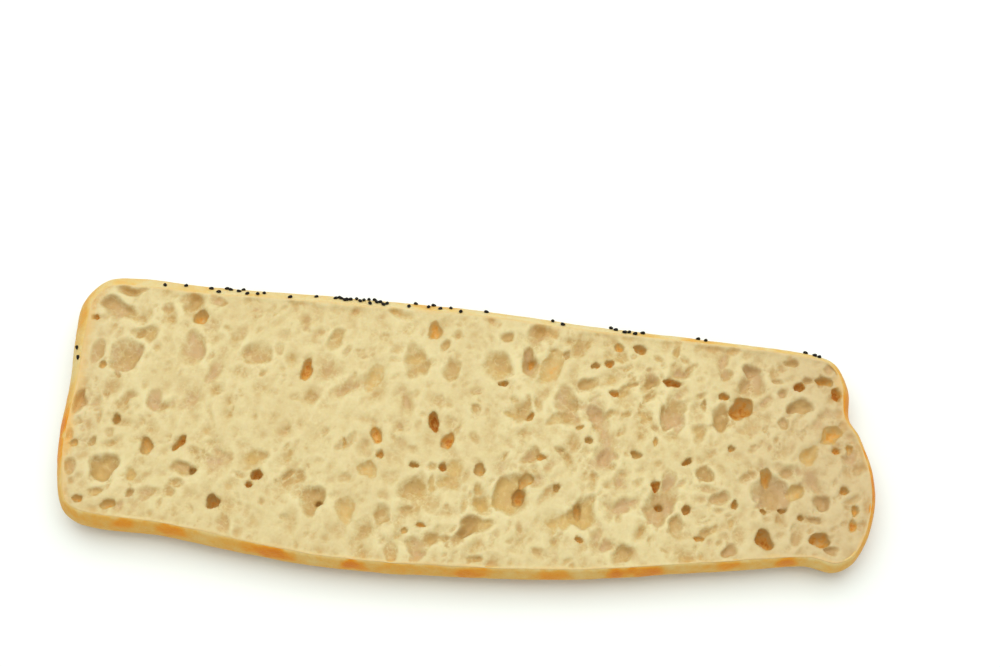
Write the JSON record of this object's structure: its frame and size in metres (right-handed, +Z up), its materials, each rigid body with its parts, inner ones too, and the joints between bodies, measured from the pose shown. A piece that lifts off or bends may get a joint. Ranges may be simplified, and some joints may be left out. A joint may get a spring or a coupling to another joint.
{
  "type": "split flatbread half",
  "caption": "Lower half of a long seeded flatbread, split level and lying cut face up, with open bubbly crumb, a browned crust and black seeds along its far edge.",
  "frame": {"origin": "under the middle of the loaf, on the flat base that it rests on", "axes": "+X along the loaf to its right end, +Y to the far edge with the seeds, +Z up out of the cut face"},
  "size_m": [0.4054, 0.141, 0.0279],
  "materials": {
    "crumb": "soft satin crumb, pale cream",
    "crust": "dry golden crust, mottled orange brown",
    "seed": "dull black seeds"
  },
  "bodies": {
    "root": {"flatbread_half": "crumb"}
  },
  "joints": []
}
